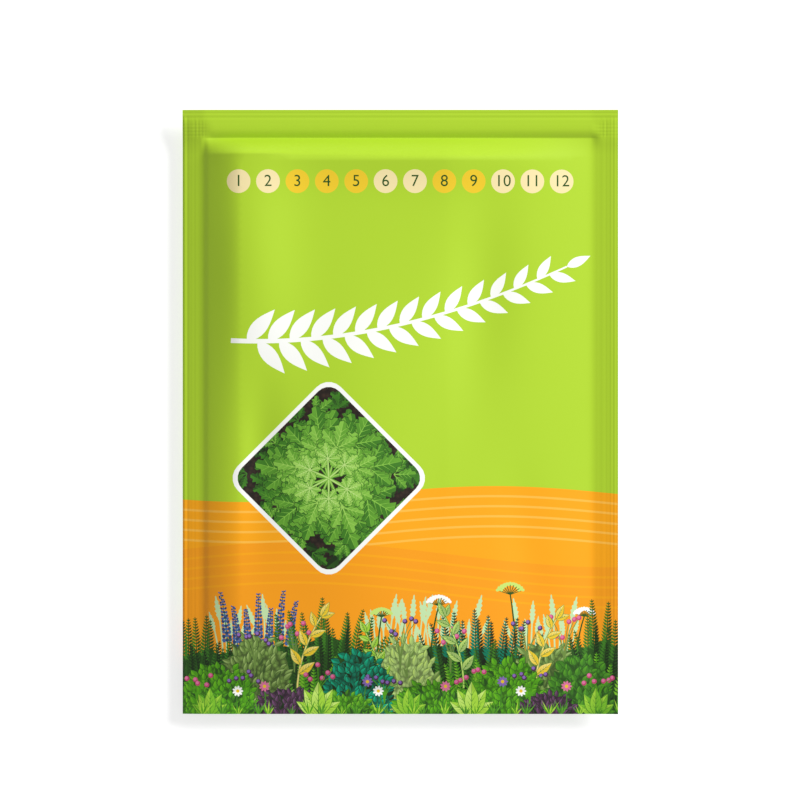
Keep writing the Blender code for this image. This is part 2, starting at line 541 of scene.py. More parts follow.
def half_leaf(length, width, side, teeth, steps, belly):
    """One half of a leaf that grows along +X: its edge, toothed or plain, and back along the midrib. Over
    1, the belly lies towards the tip."""
    count = 2 * teeth if teeth else steps
    edge = []
    for k in range(1, count):
        t = k / count
        tooth = teeth and k % 2
        depth = 1.0 if tooth or not teeth else NOTCH
        forward = 0.4 / count if tooth else 0.0
        edge.append(((t + forward) * length, side * math.sin(math.pi * t**belly) * depth * width / 2))
    return [(0, 0), *edge, (length, 0)]


def leaf(
    at, degrees, length, width, light, dark, teeth=0, vein=None, rim=None, mask=None, steps=6, belly=0.8
):
    """A leaf in two tones, one each side of its midrib. The light one darkens towards the foot. It may
    have veins, those to the side only where it is large, and a thin rim of another ink."""
    full = turned([(0.8 * length, 0)], at, degrees)[0]
    if rim:
        back = turned([(-0.5 * LEAF_RIM, 0)], at, degrees)[0]
        longer, wider = length + 1.5 * LEAF_RIM, width + 2 * LEAF_RIM
        upper, lower = [half_leaf(longer, wider, side, teeth, steps, belly) for side in (1, -1)]
        lay(turned(upper + lower[-2:0:-1], back, degrees), rim, mask=mask)
    upper, lower = [half_leaf(length, width, side, teeth, steps, belly) for side in (1, -1)]
    lay(turned(upper, at, degrees), light, (dark, full, at), mask=mask)
    lay(turned(lower, at, degrees), dark, mask=mask)
    if vein:
        path = [(0, 0), (0.5 * length, 0), (0.94 * length, 0)]
        lay(turned(stroke(path, 0.05 * width + 0.06, 0.03), at, degrees), vein, mask=mask)
    if vein and length > SIDE_VEINS_FROM:
        for share in SIDE_VEINS:
            for side in (1, -1):
                path = [(share * length, 0), ((share + 0.2) * length, 0.3 * side * width)]
                lay(turned(stroke(path, 0.02 * width + 0.05, 0.03), at, degrees), vein, mask=mask)


def needle(at, degrees, length, width, ink):
    """A leaf too small for two tones."""
    points = [(0, 0), (0.4 * length, width / 2), (length, 0), (0.4 * length, -width / 2)]
    lay(turned(points, at, degrees), ink)


# %% [markdown]
# ### The front's ground
#
# The upper two thirds are plain lime. Below, amber fields roll away in two hills, with a few pale furrows
# that follow them.

# %% Amber fields
FIELD_TOP = -15.5
FRONT_HILL = -27.0
FURROW_GAP = 1.9
FURROW_WIDTH = 0.42
FURROWS = 5


def hill(level, swell, length, phase, steps=48):
    """The crest of a hill from edge to edge."""
    xs = [LEFT - 1 + (WIDTH + 2) * k / steps for k in range(steps + 1)]
    return [(x, level + swell * math.sin(x / length + phase)) for x in xs]


def ground_below(crest):
    return crest + [(RIGHT + 1, BOTTOM - 1), (LEFT - 1, BOTTOM - 1)]


def amber_fields():
    far, near = hill(FIELD_TOP, 1.5, 15.0, 0.4), hill(FRONT_HILL, 2.4, 19.0, 2.6)
    lay(ground_below(far), "amber")
    for k in range(1, FURROWS + 1):
        lay(stroke([(x, y - k * FURROW_GAP) for x, y in far], FURROW_WIDTH), "pale_amber")
    lay(ground_below(near), "deep_amber")
    for k in range(1, FURROWS):
        lay(stroke([(x, y - k * FURROW_GAP) for x, y in near], FURROW_WIDTH), "amber")


# %% [markdown]
# ### A white branch
#
# A plain leafy branch, in the white of the film's under-print, crosses the upper half.

# %% White branch
BRANCH = ((-32.0, 13.5), (-2.0, 12.0), (31.5, 27.5))
BRANCH_PAIRS = 15
BRANCH_LEAF = 8.2


def branch(start, pull, end, pairs, reach, ink):
    """A stem with pairs of leaves that grow smaller to its tip."""
    path = bend(start, pull, end, steps=4 * pairs)
    lay(stroke(path, 0.11 * reach, 0.04 * reach), ink)
    for pair in range(1, pairs):
        k = 4 * pair
        share = pair / pairs
        length = reach * (1 - 0.4 * share)
        for side in (1, -1):
            foot = path[k - 1 if side > 0 else k + 1]
            lean = direction(path, k) + side * (50 - 14 * share)
            leaf(foot, lean, length, 0.36 * length, ink, ink, steps=9)
    leaf(path[-1], direction(path, len(path) - 1), 0.6 * reach, 0.22 * reach, ink, ink, steps=9)


# %% [markdown]
# ### The month strip
#
# Seed packets show when to sow as twelve plain month numbers. Here they are cream discs in a row, with
# the sowing months in yellow. Blender's own text object draws the numbers. It is turned to a mesh, whose
# faces then become shapes of the print, and it is deleted.

# %% Month numbers
MONTH_PITCH = 5.55
MONTH_RADIUS = 2.25
MONTH_LEVEL = 43.6
SOWING_MONTHS = (3, 4, 5, 8, 9)
FIGURE_SIZE = 3.1


def figure(words, at, size, ink):
    """A number, centred at `at`."""
    bpy.ops.object.select_all(action="DESELECT")
    bpy.ops.object.text_add()
    text = bpy.context.object
    text.data.body = words
    text.data.align_x = "CENTER"
    text.data.align_y = "CENTER"
    text.data.size = size
    text.data.resolution_u = 4
    bpy.ops.object.convert(target="MESH")
    mesh = bpy.context.object.data
    corners = [(v.co.x, v.co.y) for v in mesh.vertices]
    for face in mesh.polygons:
        lay(turned([corners[k] for k in face.vertices], at, 0), ink)
    bpy.ops.object.delete()


def month_strip(level):
    for month in range(1, 13):
        at = ((month - 6.5) * MONTH_PITCH, level)
        lay(disc(at, MONTH_RADIUS), "yellow" if month in SOWING_MONTHS else "cream")
        figure(str(month), at, FIGURE_SIZE, "dark_green")


# %% [markdown]
# ### The leaf window
#
# A window on its corner looks down into a bed of parsley: leaflets in deep shade over dark soil, and over
# them one plant, drawn from its old outer leaves to its young ones, so that each lies on the ones before.
# A parsley leaflet has three wedge-shaped lobes with teeth, and a leaf has five leaflets on a stalk. The
# window's own outline masks them all.

# %% Window, bed and parsley plant
WINDOW_AT = (-13.5, -12.5)
WINDOW_REACH = 19.5
WINDOW_CORNER = 3.2
WINDOW_EDGE = 1.1
LEAFLET_LOBES = ((50, 0.82), (-50, 0.82), (0, 1.0))
LOBE_SLIMNESS = 0.6
LEAF_LEAFLETS = ((92, 0.36), (-92, 0.36), (45, 0.4), (-45, 0.4), (0, 0.44))
STALK_SHARE = 0.52
BED_TONES = (
    ("dark_green", "night_green", None),
    ("green", "dark_green", "parsley_shade"),
    ("parsley_shade", "green", "parsley"),
    ("parsley", "parsley_shade", "parsley_fresh"),
)
BED_LEAFLETS = 26
PLANT_RINGS = (
    (9, 15.0, "parsley", "parsley_shade", "parsley_fresh", "night_green"),
    (8, 11.2, "parsley_fresh", "parsley", "parsley_young", "dark_green"),
    (6, 7.6, "parsley_young", "parsley_fresh", "parsley_vein", "green"),
)


def window_outline(reach, corner, steps=5):
    """A square on its corner, with round corners."""
    points = []
    centre = reach - corner * math.sqrt(2)
    for quarter in range(4):
        heading = 90 * quarter
        mid = turned([(centre, 0)], (0, 0), heading)[0]
        for k in range(steps + 1):
            a = math.radians(heading - 45 + 90 * k / steps)
            points.append((mid[0] + corner * math.cos(a), mid[1] + corner * math.sin(a)))
    return [(WINDOW_AT[0] + x, WINDOW_AT[1] + y) for x, y in points]


def leaflet(at, degrees, reach, light, dark, vein, rim, mask):
    for spread, share in LEAFLET_LOBES:
        size = share * reach
        leaf(at, degrees + spread, size, LOBE_SLIMNESS * size, light, dark, 5, vein, rim, mask, belly=1.4)


def parsley_leaf(at, degrees, reach, light, dark, vein, rim, mask, rng):
    fork = turned([(STALK_SHARE * reach, 0)], at, degrees)[0]
    lay(stroke([at, fork], 0.5, 0.34), dark, mask=mask)
    lay(stroke([at, fork], 0.24, 0.16), vein, mask=mask)
    for spread, share in LEAF_LEAFLETS:
        turn = degrees + spread + rng.uniform(-7, 7)
        leaflet(fork, turn, share * reach * rng.uniform(0.92, 1.08), light, dark, vein, rim, mask)


def leaf_window():
    rng = random.Random(5)
    lay(window_outline(WINDOW_REACH, WINDOW_CORNER), "white")
    pane = window_outline(WINDOW_REACH - WINDOW_EDGE, WINDOW_CORNER - 0.4)
    lay(pane, "soil", foliage=1)
    for light, dark, vein in BED_TONES:
        for k in range(BED_LEAFLETS):
            turn = 360 * k / BED_LEAFLETS + rng.uniform(-8, 8)
            start = turned([(rng.uniform(6, 16), 0)], WINDOW_AT, turn)[0]
            leaflet(start, turn + rng.uniform(-70, 70), rng.uniform(2.8, 4.4), light, dark, vein, None, pane)
    for count, reach, light, dark, vein, rim in PLANT_RINGS:
        first = rng.uniform(0, 360)
        for k in range(count):
            turn = first + 360 * k / count + rng.uniform(-8, 8)
            size = reach * rng.uniform(0.85, 1.05)
            parsley_leaf(WINDOW_AT, turn, size, light, dark, vein, rim, pane, rng)


# %% [markdown]
# ### The border of plants
#
# Along the bottom grows a dense border of simple garden plants: feathery grass, umbels, thickets of fern,
# leafy bushes and cushions, flower spires, sprigs and broad-leaved perennials. Each kind is one function
# that draws a plant from its foot, and the border is laid from the back row to the front one. Bushes and
# cushions are leaves laid from the top down, each with a dark rim, like tiles. Where a plant hides another,
# only what shows costs any faces, because the map below drops the hidden outlines.


# %% Kinds of plant
def foxtail(foot, height, lean, ink):
    """A bare stem with a long soft head."""
    path = bend(foot, (foot[0], foot[1] + 0.6 * height), (foot[0] + lean, foot[1] + height), 5)
    lay(stroke(path, 0.34, 0.24), ink)
    turn = direction(path, 5)
    for side in (1, -1):
        lay(turned(half_leaf(0.4 * height, 0.1 * height, side, 6, 0, 0.8), path[-2], turn), ink)


def umbel(foot, height, lean, ink, flower):
    """A bare stem that branches into rays, each with florets."""
    top = (foot[0] + lean, foot[1] + height)
    lay(stroke(bend(foot, (foot[0] + 0.2 * lean, foot[1] + 0.6 * height), top, 6), 0.4, 0.24), ink)
    for k in range(9):
        angle = math.radians(25 + 130 * k / 8)
        reach = 0.17 * height * (1 - 0.10 * abs(k - 4) / 4)
        tip = (top[0] + reach * math.cos(angle), top[1] + 0.75 * reach * math.sin(angle))
        lay(stroke([top, tip], 0.15), ink)
        for spread in (-0.4, 0.0, 0.4):
            lay(disc((tip[0] + spread, tip[1] + 0.26 - 0.3 * abs(spread)), 0.3, 7), flower)


def frond(foot, height, lean, light, dark, hidden=0.25):
    """A fern's frond, with pairs of leaflets that grow smaller to its tip and none in its hidden part."""
    pairs = round(1.5 * height)
    path = bend(foot, (foot[0], foot[1] + 0.6 * height), (foot[0] + lean, foot[1] + height), pairs)
    lay(stroke(path, 0.3, 0.14), dark)
    for k in range(round(hidden * pairs), pairs):
        size = (0.8 + 0.05 * height) * math.sin(math.pi * (0.34 + 0.58 * k / pairs))
        for side in (1, -1):
            turn = direction(path, k) + side * 50
            needle(path[k], turn, size, 0.34 * size + 0.08, light if side > 0 else dark)


def spire(foot, height, lean, light, dark, stem, rng):
    """A tall stem with small florets all the way up its upper part."""
    path = bend(foot, (foot[0], foot[1] + 0.6 * height), (foot[0] + lean, foot[1] + height), 22)
    lay(stroke(path, 0.3, 0.12), stem)
    for k in range(8, 23):
        size = 0.62 * (1 - 0.6 * (k - 8) / 15)
        for side in (1, 0, -1):
            centre = (path[k][0] + side * size, path[k][1] + rng.uniform(-0.15, 0.15))
            lay(disc(centre, 0.72 * size, 6, 0.8, 60 * side), light if (k + side) % 2 else dark)


def sprig(foot, height, lean, light, dark, rim):
    """A stem with broad veined leaves, left and right in turn, and one at its tip."""
    path = bend(foot, (foot[0], foot[1] + 0.5 * height), (foot[0] + lean, foot[1] + height), 8)
    lay(stroke(path, 0.5, 0.34), rim)
    lay(stroke(path, 0.3, 0.16), light)
    for k in range(2, 9):
        side = 1 if k % 2 else -1
        size = 0.25 * height * (1.15 - 0.05 * k)
        leaf(path[k], direction(path, k) + side * 44, size, 0.42 * size, light, dark, vein=rim, rim=rim)
    leaf(path[-1], direction(path, 8), 0.22 * height, 0.09 * height, light, dark, vein=rim, rim=rim)


def daisy(foot, height, lean, petal, stem):
    top = (foot[0] + lean, foot[1] + height)
    lay(stroke(bend(foot, (foot[0], foot[1] + 0.5 * height), top, 5), 0.26, 0.18), stem)
    for k in range(9):
        centre = turned([(0.6, 0)], top, 40 * k)[0]
        lay(disc(centre, 0.46, 7, 0.5, 40 * k), petal)
    lay(disc(top, 0.34, 8), "yellow")


def buttons(foot, height, ink, dark, stem, rng):
    """A loose bunch of thin stems, each with a round flower."""
    for k in range(6):
        top = (foot[0] + (k - 2.5) * 1.1 + rng.uniform(-0.5, 0.5), foot[1] + height * rng.uniform(0.6, 1.0))
        lay(stroke(bend(foot, (foot[0], foot[1] + 0.6 * height), top, 4), 0.2, 0.14), stem)
        lay(disc(top, 0.5, 9), dark)
        lay(disc((top[0] - 0.08, top[1] + 0.12), 0.33, 7), ink)


def hosta(foot, reach, light, dark, rim, leaves=5):
    """A fan of broad pointed leaves, the outer ones first."""
    for k in sorted(range(leaves), key=lambda k: -abs(k - (leaves - 1) / 2)):
        turn = 90 + 116 * (k / (leaves - 1) - 0.5)
        size = reach * (1 - 0.12 * abs(k - (leaves - 1) / 2))
        leaf(foot, turn, size, 0.4 * size, light, dark, vein=rim, rim=rim, steps=8)


def grass(foot, height, light, dark, rng, blades=6):
    for k in range(blades):
        turn = 90 + 70 * (k / (blades - 1) - 0.5) + rng.uniform(-6, 6)
        needle(foot, turn, height * rng.uniform(0.6, 1.0), 0.1 * height, (light, dark)[k % 2])


# %% Masses of leaves
def dome(middle, width, foot, height, rng, steps=32):
    """The uneven outline of a bush."""
    rim = []
    for k in range(steps + 1):
        angle = math.pi * k / steps
        swell = 1 + 0.06 * math.sin(6 * angle + middle) + rng.uniform(-0.03, 0.03)
        x = middle + width / 2 * math.cos(angle) * swell
        rim.append((x, foot + height * math.sin(angle) ** 0.75 * swell))
    return rim


def leafy(middle, width, foot, height, size, slim, light, dark, rim, rng):
    """A bush or a cushion: leaves in rows from the top down over a dark dome."""
    lay(dome(middle, width, foot, height, rng), dark, foliage=1)
    rows = round(height / (0.64 * size))
    for row in range(rows):
        level = height * (1 - (row + 0.7) / rows)
        half = width / 2 * (1 - (level / height) ** 2) ** 0.42
        count = max(2, round(2 * half / (0.78 * size)))
        for k in range(count):
            share = 2 * (k + 0.5 + rng.uniform(-0.35, 0.35)) / count - 1
            at = (middle + half * share, foot + level + size * rng.uniform(-0.25, 0.25))
            turn = 90 - 50 * share + rng.uniform(-32, 32)
            reach = size * rng.uniform(0.8, 1.2)
            tones = (dark, rim) if rng.random() < 0.08 + 0.35 * row / rows else (light, dark)
            leaf(at, turn, reach, slim * reach, *tones, rim=rim, steps=4)


def thicket(middle, width, foot, height, rows, rng):
    """Ferns, row before row, over a dark dome. The front rows are shorter."""
    lay(dome(middle, 0.94 * width, foot, 0.68 * height, rng), rows[0][1], foliage=2)
    for row, (light, dark) in enumerate(rows):
        count = round(width / (1.15 + 0.3 * row))
        for k in range(count):
            share = 2 * (k + 0.5 + rng.uniform(-0.4, 0.4)) / count - 1
            reach = height * (1 - 0.24 * row) * (1 - 0.3 * share * share) * rng.uniform(0.78, 1.12)
            lean = 0.14 * width * share + rng.uniform(-1.2, 1.2)
            frond((middle + 0.48 * width * share, foot), reach, lean, light, dark, 0.5 - 0.1 * row)


# %% Planting plan of the border
FERN_TONES = (("green", "dark_green"), ("dark_green", "night_green"), ("leaf_green", "moss_green"))
BLUE_FERN_TONES = (("dark_teal", "night_green"), ("green", "dark_green"), ("leaf_green", "moss_green"))
# A thicket's middle, width, height and inks, row by row
THICKETS = (
    (-37.5, 13.0, 17.0, FERN_TONES),
    (-14.0, 23.0, 20.0, FERN_TONES),
    (14.5, 21.0, 18.5, BLUE_FERN_TONES),
    (37.5, 12.0, 19.5, FERN_TONES),
)
# A bush's or cushion's middle, width, height, leaf length and slimness, and inks
BUSHES = (
    (-27.5, 14.0, 14.0, 1.9, 0.42, "sage", "dark_sage", "moss_sage"),
    (1.0, 13.0, 13.5, 1.9, 0.42, "pale_green", "sage", "dark_sage"),
    (27.5, 14.0, 12.5, 1.9, 0.42, "sage", "dark_sage", "moss_sage"),
)
CUSHIONS = (
    (-34.5, 15.0, 9.4, 1.6, 0.62, "bright_green", "moss_green", "dark_green"),
    (-8.0, 13.0, 12.0, 1.6, 0.66, "teal", "dark_teal", "night_green"),
    (20.5, 14.0, 10.4, 1.6, 0.62, "bright_green", "moss_green", "dark_green"),
    (34.0, 12.0, 11.4, 1.6, 0.66, "mid_green", "green", "dark_green"),
    (-21.5, 12.0, 5.0, 1.4, 0.55, "mauve", "plum", "night_green"),
    (6.5, 15.0, 6.4, 1.4, 0.55, "bright_green", "moss_green", "dark_green"),
    (28.0, 10.5, 4.2, 1.3, 0.55, "mauve", "plum", "night_green"),
    (-11.0, 12.0, 4.2, 1.3, 0.6, "leaf_green", "moss_green", "dark_green"),
)
# A sprig's x, its foot over the border's, its height and lean, and inks
SPRIGS = (
    (-19.5, 2, 14.5, 4.5, "straw", "yellow", "dark_sage"),
    (-3.5, 2, 11.5, -3.0, "pale_green", "light_green", "green"),
    (12.0, 3, 13.5, -3.5, "pale_green", "sage", "green"),
    (25.5, 2, 14.0, 4.0, "straw", "yellow", "dark_sage"),
)
# Where the other plants stand, by their x
FOXTAIL_CLUMPS = (-32, -24, -3, 2, 7, 12, 24, 30)
UMBELS = (-4.5, 5.5, 22, 33)
FIRST_SPIRE = -32.5
SPIRE_PITCH = 1.9
BACK_BUTTONS = (-27.5, -20, 0, 9.5, 24, 31)
FRONT_BUTTONS = (-38.5, -29.5, -15.5, -3, 13.5, 24.5, 37.5)
HOSTAS = (-36, -15.5, 1.5, 13.5, 37)
DAISIES = (-31, -25.5, -7, -3.5, 8, 19, 22.5, 31.5)
TUFTS = 26
TUFT_PITCH = 3.25
# The inks that plants of one kind take in turn
UMBEL_INKS = ("pale_green", "white")
BUTTON_INKS = (("violet", "plum"), ("pink", "rose"))
HOSTA_INKS = (("light_green", "leaf_green"), ("pale_green", "light_green"))
DAISY_INKS = ("white", "pink", "violet")
TUFT_INKS = (("mid_green", "green"), ("light_green", "moss_green"))


# %% Border along the bottom
def border(foot, rng):
    """The plants, row by row from the back."""
    for clump in FOXTAIL_CLUMPS:
        for k in range(7):
            reach = rng.uniform(8.0, 13.0)
            lean = (k - 3) * 0.5 + rng.uniform(-0.6, 0.6)
            foxtail((clump + 0.7 * k - 2.1, foot + 5), reach, lean, "pale_sage")
    for k, x in enumerate(UMBELS):
        umbel((x, foot + 6), 10.5 + 2.1 * (k % 3), rng.uniform(-2, 2), "dark_green", UMBEL_INKS[k % 2])
    lay(ground_below(hill(foot + 10.0, 1.0, 5.0, 0.0)), "dark_green", foliage=2)
    for k in range(7):
        at = (FIRST_SPIRE + SPIRE_PITCH * k, foot + 6)
        spire(at, rng.uniform(11, 15.5), (k - 3) * 0.5, "blue", "navy", "green", rng)
    for x, width, height, rows in THICKETS:
        thicket(x, width, foot - 1.5, height, rows, rng)
    for x, width, *rest in BUSHES:
        leafy(x, width, foot - 1.5, *rest, rng)
    for k, x in enumerate(BACK_BUTTONS):
        buttons((x, foot + 6), 8.5 + (k % 3), *BUTTON_INKS[k % 2], "dark_sage", rng)
    for x, up, *rest in SPRIGS:
        sprig((x, foot + up), *rest)
    for x, width, *rest in CUSHIONS:
        leafy(x, width, foot - 2.5, *rest, rng)
    for k, x in enumerate(FRONT_BUTTONS):
        buttons((x, foot), 5.5 + (k % 3), *BUTTON_INKS[1 - k % 2], "moss_green", rng)
    for k, x in enumerate(HOSTAS):
        hosta((x, foot - 2.2), 5.2 + 1.2 * (k % 2), *HOSTA_INKS[k % 2], "green")
    for k, x in enumerate(DAISIES):
        lean = rng.uniform(-0.8, 0.8)
        daisy((x, foot - 1), 3.4 + 0.9 * (k % 3), lean, DAISY_INKS[k % 3], "green")
    for k in range(TUFTS):
        at = (LEFT + 0.6 + k * TUFT_PITCH + rng.uniform(-1, 1), foot - 2.2)
        grass(at, rng.uniform(2.2, 3.8), *TUFT_INKS[k % 2], rng)


# %% Lay out the front's print
BORDER_FOOT = -55.2

amber_fields()
branch(*BRANCH, BRANCH_PAIRS, BRANCH_LEAF, "white")
month_strip(MONTH_LEVEL)
leaf_window()
border(BORDER_FOOT, random.Random(11))
front_print = list(print_shapes)
print(f"front print: {len(front_print)} shapes, {sum(len(s.outline) for s in front_print)} outline points")

# %% [markdown]
# ### The back's print
#
# The back is plainer: a pale lime ground, a cream panel ruled for the gardener's notes, the month strip
# again with a thinner branch under it, and three drawings of how a seedling grows. The border of plants is
# set lower, from other random draws. All is drawn as it is read, and mirrored at the end, because the film
# is seen from below.

# %% Lay out the back's print
NOTE_PANEL = (0.0, 8.0, 62.0, 34.0)
NOTE_LINES = 6
STAGE_LEVEL = -23.0
STAGE_PITCH = 22.0
BACK_BRANCH = ((-30.0, 34.5), (0.0, 31.5), (30.0, 36.0))
BACK_FIELD_TOP = -38.0
BACK_BORDER_DROP = 4.5


def panel(middle_x, middle_y, width, height, corner, ink, steps=5):
    """A rectangle with round corners."""
    points = []
    for quarter in range(4):
        way = math.radians(45 + 90 * quarter)
        x = middle_x + (width / 2 - corner) * math.copysign(1, math.cos(way))
        y = middle_y + (height / 2 - corner) * math.copysign(1, math.sin(way))
        turns = [math.radians(90 * quarter + 90 * k / steps) for k in range(steps + 1)]
        points += [(x + corner * math.cos(a), y + corner * math.sin(a)) for a in turns]
    lay(points, ink)


def seedling(at, stage):
    """A disc with a seedling on a strip of soil. It has one more pair of leaves at each stage."""
    lay(disc(at, 7.4, 40), "yellow")
    lay(disc(at, 6.6, 40), "cream")
    soil = [p for p in disc(at, 6.6, 60) if p[1] < at[1] - 2.6]
    lay(soil, "plum")
    height = 1.8 + 1.8 * stage
    foot = (at[0], at[1] - 3.2)
    lay(stroke([foot, (foot[0], foot[1] + 0.5 * height), (foot[0], foot[1] + height)], 0.55, 0.35), "green")
    for pair in range(stage):
        level = (foot[0], foot[1] + height * (pair + 1) / stage)
        size = 3.6 - 0.5 * pair
        for turn in (28, 152):
            leaf(level, turn, size, 0.45 * size, "light_green", "mid_green", steps=9)


print_shapes.clear()
whole = [(LEFT - 1, BOTTOM - 1), (RIGHT + 1, BOTTOM - 1), (RIGHT + 1, TOP + 1), (LEFT - 1, TOP + 1)]
lay(whole, "pale_lime")
lay(ground_below(hill(BACK_FIELD_TOP, 1.2, 14.0, 2.0)), "amber")
month_strip(MONTH_LEVEL)
branch(*BACK_BRANCH, 13, 4.6, "white")
panel(*NOTE_PANEL, 3.0, "mid_green")
panel(*NOTE_PANEL[:2], NOTE_PANEL[2] - 1.4, NOTE_PANEL[3] - 1.4, 2.4, "cream")
for line in range(NOTE_LINES):
    level = NOTE_PANEL[1] + NOTE_PANEL[3] / 2 - (line + 1) * NOTE_PANEL[3] / (NOTE_LINES + 1)
    lay(stroke([(-27.0, level), (0.0, level), (27.0, level)], 0.3), "light_green")
for stage in (1, 2, 3):
    seedling(((stage - 2) * STAGE_PITCH, STAGE_LEVEL), stage)
border(BORDER_FOOT - BACK_BORDER_DROP, random.Random(23))
back_print = [
    shape._replace(
        outline=[(-x, y) for x, y in shape.outline],
        fade=shape.fade and (shape.fade[0], *[(-x, y) for x, y in shape.fade[1:]]),
        mask=shape.mask and [(-x, y) for x, y in shape.mask],
    )
    for shape in print_shapes
]
print(f"back print: {len(back_print)} shapes")

# %% [markdown]
# ## One mesh for film and print
#
# A print has no thickness, so it shouldn't be a layer of its own on the film. Instead the film's outer
# face is cut like a map, and each face takes the ink that was laid down last over it. Blender's constrained
# triangulation does the cutting, twice. A first map is cut along every outline. Most of those lie hidden
# under other shapes, so only the borders between unlike inks are kept, and the second map is cut along
# them. It is also given close lines along the seals and a net of points over the pocket, so that the same
# mesh carries the form.
#
# The usual operators can't cut many thousand outlines into one sheet and keep it closed, which is why this
# piece is built from its faces. They come in very unlike sizes, which would show as facets in the gloss, so
# the normals are worked out from the form itself.

# %% Lines and points that carry the form
RIB_LINE_GAP = {"left": 0.15, "right": 0.15, "bottom": 0.35, "top": 0.15}
FOOT_LINES = (0.0, 0.12, 0.26, 0.45, 0.7, 1.0, 1.4, 1.9, 2.5, 3.2)
POCKET_NET = 0.95
LINE_STEP = 3.0
CLEAR_OF_EDGE = 0.3
INNER_COARSE = 7
# How far off a straight line a point may lie and still be dropped, and how near two points are one
STRAIGHT = 0.008
ONE_POINT = 1e-5


def line_places(low, high, low_side, high_side, coarse):
    """Where lines cross one direction of the packet: through both seals and up the flanks' feet."""
    places = []
    for edge, side, way in ((low, low_side, 1), (high, high_side, -1)):
        count = round(SEAL[side] / (RIB_LINE_GAP[side] * coarse))
        places += [edge + way * SEAL[side] * k / count for k in range(1, count)]
        places += [edge + way * (SEAL[side] + more) for more in FOOT_LINES]
    return places


def chain(points, lines, path, closed=False):
    """Adds a path to the points, and its edges to the lines."""
    first = len(points)
    points += path
    lines += [(k, k + 1) for k in range(first, first + len(path) - 1)]
    if closed:
        lines.append((first + len(path) - 1, first))


def form_lines(points, lines, coarse, clear):
    """Lines along the seals, some way apart for the inner face, and a staggered net over the pocket.
    The lines end `clear` of the edge."""
    up, across = round(HEIGHT / LINE_STEP), round(WIDTH / LINE_STEP)
    tall, wide = HEIGHT - 2 * clear, WIDTH - 2 * clear
    for x in line_places(LEFT, RIGHT, "left", "right", coarse):
        chain(points, lines, [(x, BOTTOM + clear + tall * k / up) for k in range(up + 1)])
    for y in line_places(BOTTOM, TOP, "bottom", "top", coarse):
        chain(points, lines, [(LEFT + clear + wide * k / across, y) for k in range(across + 1)])
    inset = FOOT_LINES[-1] + POCKET_NET / 2
    y = BOTTOM + SEAL["bottom"] + inset
    row = 0
    while y < TOP - SEAL["top"] - inset:
        x = LEFT + SEAL["left"] + inset + (row % 2) * POCKET_NET / 2
        while x < RIGHT - SEAL["right"] - inset:
            points.append((x, y))
            x += POCKET_NET
        y += POCKET_NET * math.sqrt(3) / 2
        row += 1


# %% Which shape shows where
def within(outline, xs, ys):
    """Which points lie inside an outline: each edge to the right of a point flips it."""
    inside = np.zeros(len(xs), dtype=bool)
    for (x0, y0), (x1, y1) in zip(outline, outline[1:] + outline[:1]):
        if y0 != y1:
            beside = xs < x0 + (ys - y0) * (x1 - x0) / (y1 - y0)
            inside ^= ((y0 > ys) != (y1 > ys)) & beside
    return inside


def top_shapes(shapes, places, triangles):
    """Which shape was laid down last over each triangle, -1 where none was."""
    middles = places[triangles].mean(axis=1)
    order = np.argsort(middles[:, 0])
    xs, ys = middles[order].T
    on_top = np.full(len(triangles), -1)
    for number, shape in enumerate(shapes):
        (x0, y0), (x1, y1) = np.min(shape.outline, axis=0), np.max(shape.outline, axis=0)
        span = np.arange(*np.searchsorted(xs, (x0, x1)))
        span = span[(ys[span] > y0) & (ys[span] < y1)]
        for outline in (shape.outline, shape.mask):
            if outline:
                span = span[within(outline, xs[span], ys[span])]
        on_top[order[span]] = number
    return on_top


# %% Cut a map
def cut_map(points, lines, follow=False):
    """The triangulation, with what falls outside the packet left out: the places, the triangles and, if
    they are followed, where each of the given points ended up."""
    made = delaunay_2d_cdt([Vector(p) for p in points], lines, [], 0, ONE_POINT, follow)
    places = np.array([(p.x, p.y) for p in made[0]])
    triangles = np.array(made[2])
    middles = places[triangles].mean(axis=1)
    triangles = triangles[(abs(middles[:, 0]) < RIGHT) & (abs(middles[:, 1]) < TOP)]
    used, triangles = np.unique(triangles, return_inverse=True)
    now = {was: k for k, was in enumerate(used.tolist())}
    moved = {given: now[k] for k, origins in enumerate(made[3]) if k in now for given in origins}
    return places[used], triangles.reshape(-1, 3), moved


def rim_loop(triangles):
    """The points round a map's edge, in order."""
    size = triangles.max() + 1
    start, end = triangles.ravel(), np.roll(triangles, -1, axis=1).ravel()
    loose = ~np.isin(start * size + end, end * size + start)
    follows = dict(zip(start[loose].tolist(), end[loose].tolist()))
    loop = [next(iter(follows))]
    while len(loop) < len(follows):
        loop.append(follows[loop[-1]])
    return loop


def straightened(places, ends):
    """Borders without the points that lie on a straight stretch of one."""
    beside = defaultdict(set)
    for a, b in ends:
        beside[a].add(b)
        beside[b].add(a)
    for k in sorted(beside):
        if len(beside[k]) == 2:
            a, b = beside[k]
            (ax, ay), (bx, by), (x, y) = places[a], places[b], places[k]
            off = abs((bx - ax) * (y - ay) - (by - ay) * (x - ax)) / math.hypot(bx - ax, by - ay)
            if off < STRAIGHT and b not in beside[a]:
                beside[a] ^= {k, b}
                beside[b] ^= {k, a}
                del beside[k]
    now = {was: k for k, was in enumerate(sorted(beside))}
    lines = [(now[a], now[b]) for a in beside for b in beside[a] if a < b]
    return [places[k] for k in sorted(beside)], lines


def divided(points, lines):
    """Borders cut up so that no stretch is longer than the pocket's net is wide: the film curves there."""
    points, short = list(points), []
    for a, b in lines:
        (ax, ay), (bx, by) = points[a], points[b]
        pieces = math.ceil(math.hypot(bx - ax, by - ay) / POCKET_NET)
        stops = [a, *range(len(points), len(points) + pieces - 1), b]
        points += [(ax + (bx - ax) * k / pieces, ay + (by - ay) * k / pieces) for k in range(1, pieces)]
        short += zip(stops, stops[1:])
    return points, short


